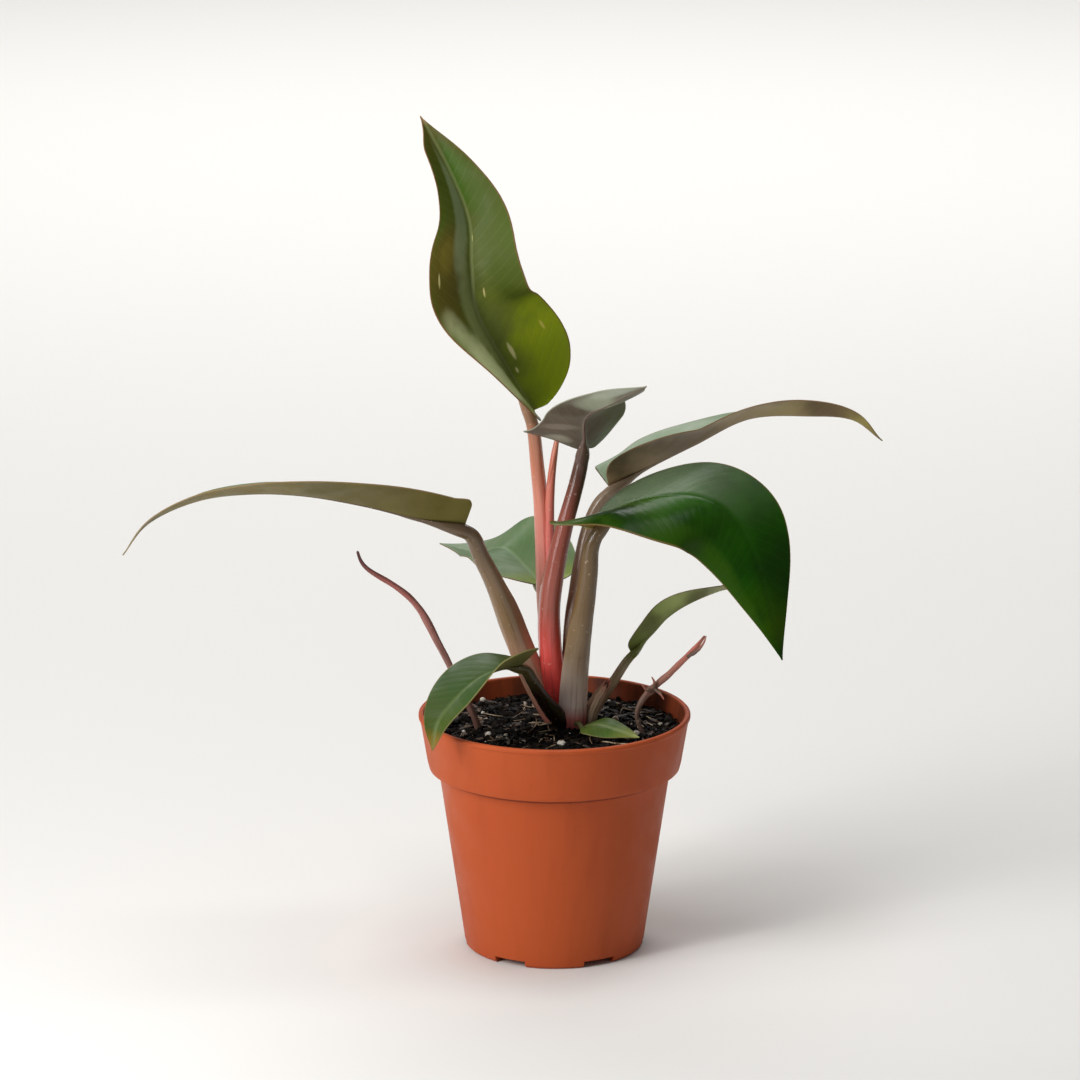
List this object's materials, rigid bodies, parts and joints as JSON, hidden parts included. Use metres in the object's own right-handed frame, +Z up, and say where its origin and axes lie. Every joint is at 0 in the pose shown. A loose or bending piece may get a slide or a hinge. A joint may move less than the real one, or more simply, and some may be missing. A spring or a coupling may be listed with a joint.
{
  "type": "potted pink birkin philodendron",
  "caption": "Young aroid house plant with pink and tan leaf stalks and pointed green leaves, growing in soil in a terracotta-coloured plastic nursery pot with a deep rim.",
  "frame": {"origin": "on the pot's axis, in the plane of the foot ring and central pad that the pot stands on", "axes": "+Z up along the pot's axis; +X to the right and -Y to the front in the pictured view"},
  "size_m": [0.333, 0.1525, 0.3705],
  "materials": {
    "terracotta_plastic": "matte",
    "potting_mix": "matte",
    "crown": "satin",
    "new_leaf_pink": "satin",
    "dry_sheath": "matte",
    "withered_stalk": "matte",
    "leaf_a_green": "satin",
    "leaf_b_green": "satin",
    "leaf_c_green": "satin",
    "leaf_d_green": "satin",
    "leaf_e_green": "satin",
    "leaf_f_green": "satin",
    "leaf_g_green": "satin",
    "leaf_h_green": "satin",
    "leaf_i_green": "satin",
    "leaf_a_stalk": "satin",
    "leaf_b_stalk": "satin",
    "leaf_c_stalk": "satin",
    "leaf_d_stalk": "satin",
    "leaf_e_stalk": "satin",
    "leaf_f_stalk": "satin",
    "leaf_g_stalk": "satin",
    "leaf_h_stalk": "satin",
    "leaf_i_stalk": "satin"
  },
  "bodies": {
    "root": {"pot": "terracotta_plastic", "soil": "potting_mix", "crown": "crown", "leaf_a_stalk": "leaf_a_stalk", "leaf_a_blade": "leaf_a_green", "leaf_b_stalk": "leaf_b_stalk", "leaf_b_blade": "leaf_b_green", "leaf_c_stalk": "leaf_c_stalk", "leaf_c_blade": "leaf_c_green", "leaf_d_stalk": "leaf_d_stalk", "leaf_d_blade": "leaf_d_green", "leaf_e_stalk": "leaf_e_stalk", "leaf_e_blade": "leaf_e_green", "leaf_f_stalk": "leaf_f_stalk", "leaf_f_blade": "leaf_f_green", "leaf_g_stalk": "leaf_g_stalk", "leaf_g_blade": "leaf_g_green", "leaf_h_stalk": "leaf_h_stalk", "leaf_h_blade": "leaf_h_green", "leaf_i_stalk": "leaf_i_stalk", "leaf_i_blade": "leaf_i_green", "new_leaf_spear": "new_leaf_pink", "dry_sheath": "dry_sheath", "withered_stalk_left": "withered_stalk", "withered_stalk_right": "withered_stalk"}
  },
  "joints": []
}
